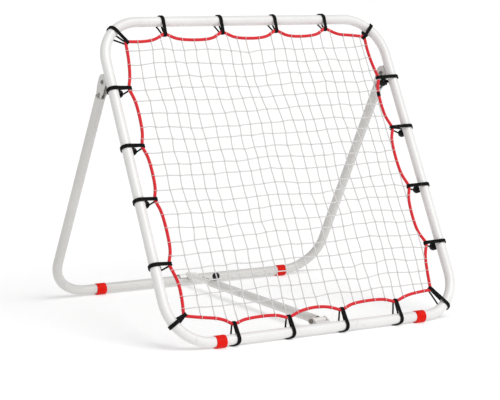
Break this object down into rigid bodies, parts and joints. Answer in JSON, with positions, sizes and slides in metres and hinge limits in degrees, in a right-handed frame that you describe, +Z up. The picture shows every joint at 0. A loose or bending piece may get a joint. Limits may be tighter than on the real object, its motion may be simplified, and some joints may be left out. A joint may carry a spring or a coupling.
{
  "type": "pitch back rebounder",
  "caption": "Folding ball rebounder: a square tube frame with a corded net, leaning on a U-shaped rear leg that a telescopic strut holds open.",
  "frame": {"origin": "on the floor, in the middle of the footprint", "axes": "X across the width, -Y out of the net's front, +Z up"},
  "size_m": [0.8472, 0.7096, 0.7468],
  "materials": {
    "frame_white": "white powder coat, satin",
    "leg_grey": "light warm grey powder coat, satin",
    "bare_steel": "zinc-plated steel",
    "dark_steel": "blackened fastener",
    "spring_steel": "drawn spring wire",
    "red_rubber": "bright red soft vinyl band",
    "red_rope": "braided red polyester rope",
    "white_net": "knotless white polyester twine",
    "black_elastic": "sheathed elastic cord",
    "black_plastic": "moulded, matte",
    "black_knob": "moulded phenolic ball, semi-gloss",
    "grey_plastic": "moulded, matte"
  },
  "bodies": {
    "frame": {"frame_upper_tube": "frame_white", "frame_lower_tube": "frame_white", "frame_spigots": "bare_steel", "frame_rivets": "bare_steel", "pivot_lug_left": "frame_white", "pivot_lug_right": "frame_white", "pivot_bolts": "dark_steel", "pivot_nuts": "dark_steel", "strut_bracket": "frame_white", "strut_hinge_bolt": "dark_steel", "strut_hinge_nut": "dark_steel", "foot_band_front_left": "red_rubber", "foot_band_front_right": "red_rubber", "net": "white_net", "border_rope": "red_rope", "bungee_loops": "black_elastic", "bungee_balls": "black_plastic"},
    "leg": {"leg_tube": "leg_grey", "leg_fork_left": "leg_grey", "leg_fork_right": "leg_grey", "fork_rivets": "bare_steel", "leg_end_plugs": "grey_plastic", "foot_band_rear_left": "red_rubber", "foot_band_rear_right": "red_rubber"},
    "strut": {"strut_outer_tube": "leg_grey", "strut_hinge_barrel": "leg_grey", "strut_guide_bush": "grey_plastic", "plunger_housing": "bare_steel", "plunger_spring": "spring_steel"},
    "strut_slider": {"strut_inner_tube": "bare_steel", "rear_saddle": "leg_grey", "saddle_liner": "black_plastic"},
    "pull_knob": {"knob": "black_knob", "lock_pin": "bare_steel"}
  },
  "joints": [
    {"name": "leg_fold", "type": "hinge", "parent": "frame", "child": "leg", "pos_m": [0, 0.0124, 0.59044], "axis": [1, 0, 0], "range_deg": [-46, 0]},
    {"name": "strut_swing", "type": "hinge", "parent": "frame", "child": "strut", "pos_m": [0, -0.3145, 0.03], "axis": [1, 0, 0], "range_deg": [0, 57.5]},
    {"name": "strut_slide", "type": "slide", "parent": "strut", "child": "strut_slider", "axis": [0, 1, 0], "range_m": [-0.07, 0]},
    {"name": "knob_pull", "type": "slide", "parent": "strut", "child": "pull_knob", "axis": [0, 0, 1], "range_m": [0, 0.004], "stiffness_N_per_m": 400, "springref_m": -0.004, "deforming": ["plunger_spring"]}
  ],
  "couplings": [
    {"joint": "strut_swing", "follows": "leg_fold", "ratio": -1.25},
    {"joint": "strut_slide", "follows": "leg_fold", "m_per_rad": 0.08657}
  ]
}
